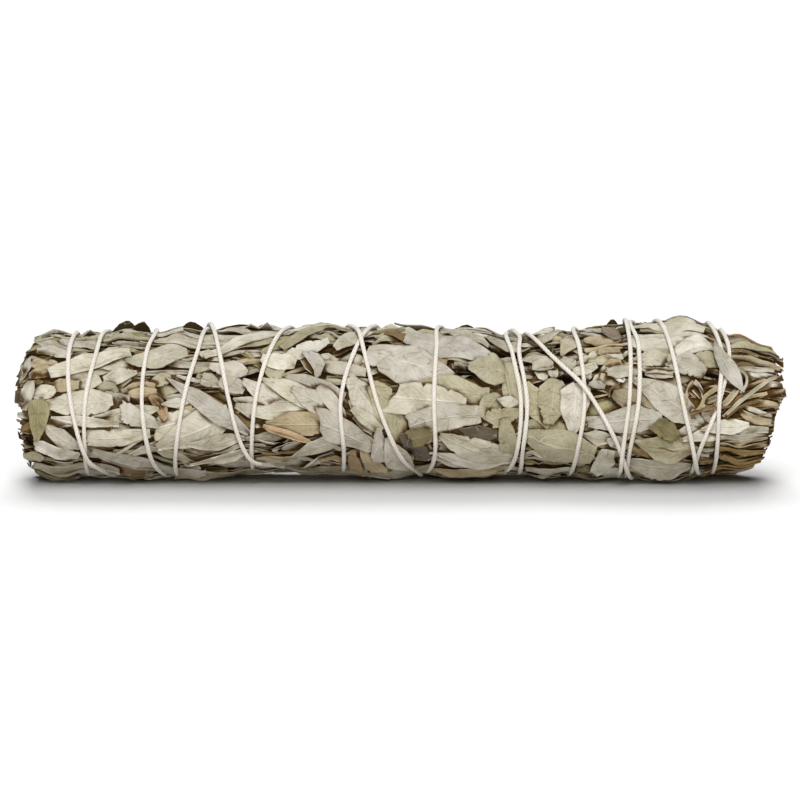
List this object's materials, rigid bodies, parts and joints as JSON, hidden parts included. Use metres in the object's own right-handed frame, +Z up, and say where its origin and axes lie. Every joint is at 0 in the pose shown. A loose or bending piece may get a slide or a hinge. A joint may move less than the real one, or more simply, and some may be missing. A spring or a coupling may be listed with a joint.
{
  "type": "sage bunch",
  "caption": "Tied bundle of dried sage: leafy stems pressed lengthwise into a round bunch and wound with cotton string, lying on a surface.",
  "frame": {"origin": "on the surface the bunch lies on, under the middle of its box", "axes": "+X along the bunch from the leaf tips to the cut butts, +Z up, the side that the picture shows faces -Y"},
  "size_m": [0.215, 0.0455, 0.0454],
  "materials": {
    "sage_leaf": "dry felted leaf, matt, grey-green to tan",
    "sage_stem": "dry woody stem, matt",
    "cotton_string": "soft twisted cotton, matt"
  },
  "bodies": {
    "root": {"sprig_01_foliage": "sage_leaf", "sprig_01_stem": "sage_stem", "sprig_02_foliage": "sage_leaf", "sprig_02_stem": "sage_stem", "sprig_03_foliage": "sage_leaf", "sprig_03_stem": "sage_stem", "sprig_04_foliage": "sage_leaf", "sprig_04_stem": "sage_stem", "sprig_05_foliage": "sage_leaf", "sprig_05_stem": "sage_stem", "sprig_06_foliage": "sage_leaf", "sprig_06_stem": "sage_stem", "sprig_07_foliage": "sage_leaf", "sprig_07_stem": "sage_stem", "sprig_08_foliage": "sage_leaf", "sprig_08_stem": "sage_stem", "sprig_09_foliage": "sage_leaf", "sprig_09_stem": "sage_stem", "sprig_10_foliage": "sage_leaf", "sprig_10_stem": "sage_stem", "string": "cotton_string"}
  },
  "joints": []
}
